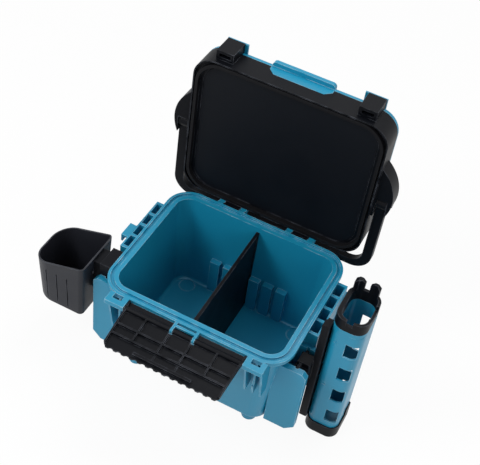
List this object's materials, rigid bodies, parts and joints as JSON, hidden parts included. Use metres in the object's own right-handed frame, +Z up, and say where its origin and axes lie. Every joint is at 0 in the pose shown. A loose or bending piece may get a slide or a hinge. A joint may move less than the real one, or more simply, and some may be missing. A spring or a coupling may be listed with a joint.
{
  "type": "fishing seat box",
  "caption": "Lidded fishing box to sit on, with a divided tub, bail handle, front latch, drink holder and rod stand at the sides.",
  "frame": {"origin": "on the ground, under the middle of the open box's outline", "axes": "+X to the right seen from the latch, +Y from the latch to the lid hinge, +Z up"},
  "size_m": [0.5134, 0.3969, 0.4546],
  "materials": {
    "shell_blue": "light blue moulded plastic, fine satin grain",
    "black_plastic": "near-black moulded plastic, satin",
    "panel_black": "charcoal plastic sheet, fine grain",
    "seal_rubber": "soft black rubber",
    "pad_rubber": "black rubber",
    "pin_steel": "plain steel"
  },
  "bodies": {
    "box": {"tub_shell": "shell_blue", "foot_pad_back_right": "pad_rubber", "foot_pad_front_right": "pad_rubber", "foot_pad_back_left": "pad_rubber", "foot_pad_front_left": "pad_rubber", "side_rail_right": "shell_blue", "side_rail_left": "shell_blue", "hinge_pin_right": "pin_steel", "hinge_pin_left": "pin_steel", "latch_pin_right": "pin_steel", "latch_pin_left": "pin_steel"},
    "lid": {"lid_frame": "black_plastic", "lid_cover": "shell_blue", "lid_panel": "panel_black", "lid_seal": "seal_rubber", "handle_pin_right": "pin_steel", "handle_pin_left": "pin_steel"},
    "handle": {"handle_bail": "black_plastic"},
    "latch": {"latch_panel": "black_plastic"},
    "divider_plate": {"divider": "black_plastic"},
    "drink_holder": {"cup_holder": "black_plastic", "cup_bracket": "black_plastic"},
    "rod_stand": {"rod_tower": "shell_blue", "rod_crown": "black_plastic", "rod_bracket": "black_plastic", "rod_foot": "black_plastic"}
  },
  "joints": [
    {"name": "lid_hinge", "type": "hinge", "parent": "box", "child": "lid", "pos_m": [0.0215, 0.13315, 0.186], "axis": [1, 0, 0], "range_deg": [0, 91]},
    {"name": "handle_swing", "type": "hinge", "parent": "lid", "child": "handle", "pos_m": [0.0215, 0.16264, 0.2995], "axis": [1, 0, 0], "range_deg": [0, 95]},
    {"name": "latch_swing", "type": "hinge", "parent": "box", "child": "latch", "pos_m": [0.0215, -0.13235, 0.19], "axis": [-1, 0, 0], "range_deg": [0, 102]},
    {"name": "divider_lift", "type": "slide", "parent": "box", "child": "divider_plate", "axis": [0, 0, 1], "range_m": [0, 0.014]},
    {"name": "drink_holder_lift", "type": "slide", "parent": "box", "child": "drink_holder", "axis": [0, 0, 1], "range_m": [0, 0.009]},
    {"name": "rod_stand_lift", "type": "slide", "parent": "box", "child": "rod_stand", "axis": [0, 0, 1], "range_m": [0, 0.03]}
  ]
}
